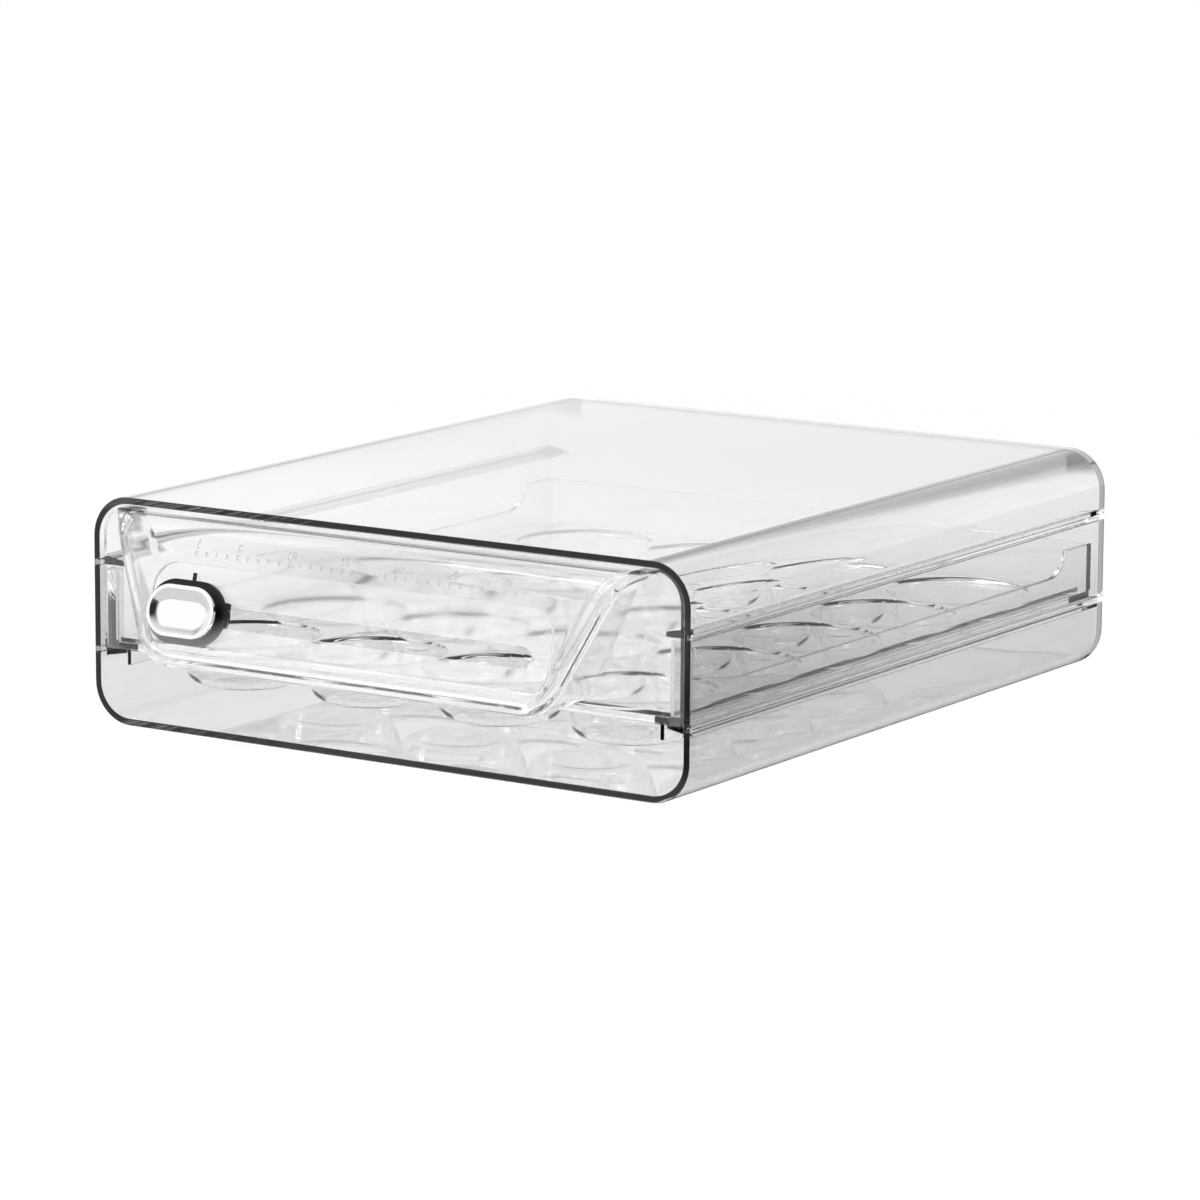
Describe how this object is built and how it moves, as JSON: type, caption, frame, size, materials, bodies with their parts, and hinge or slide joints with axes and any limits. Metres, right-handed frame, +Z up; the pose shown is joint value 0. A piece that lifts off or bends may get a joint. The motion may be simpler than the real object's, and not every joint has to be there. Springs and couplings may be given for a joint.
{
  "type": "drawer box",
  "caption": "Clear rounded sleeve with a sliding drawer of round cups, and a reclined bulging front that carries a day scale with a sliding oval marker.",
  "frame": {"origin": "middle of the sleeve's underside, on the surface it stands on", "axes": "+X to the right seen from the front, -Y out of the front, +Z up"},
  "size_m": [0.225, 0.2881, 0.074],
  "materials": {
    "clear_sleeve": "clear moulded plastic, polished, grey at its cut edges",
    "clear_drawer": "clear moulded plastic, polished",
    "clear_tray": "clear moulded plastic, polished",
    "clear_front": "clear moulded plastic, polished",
    "clear_plate": "clear moulded plastic, polished",
    "black_plastic": "black moulded plastic, satin",
    "bright_cap": "bright plated, mirror polish",
    "dark_clip": "dark moulded plastic, matt"
  },
  "bodies": {
    "case": {"sleeve": "clear_sleeve"},
    "drawer": {"drawer_body": "clear_drawer", "egg_tray": "clear_tray", "drawer_front": "clear_front", "scale_plate": "clear_plate"},
    "marker": {"slider_base": "black_plastic", "slider_cap": "bright_cap", "slider_clip": "dark_clip"}
  },
  "joints": [
    {"name": "drawer_slide", "type": "slide", "parent": "case", "child": "drawer", "axis": [0, -1, 0], "range_m": [0, 0.2]},
    {"name": "marker_slide", "type": "slide", "parent": "drawer", "child": "marker", "axis": [1, 0, 0], "range_m": [0, 0.12]}
  ]
}
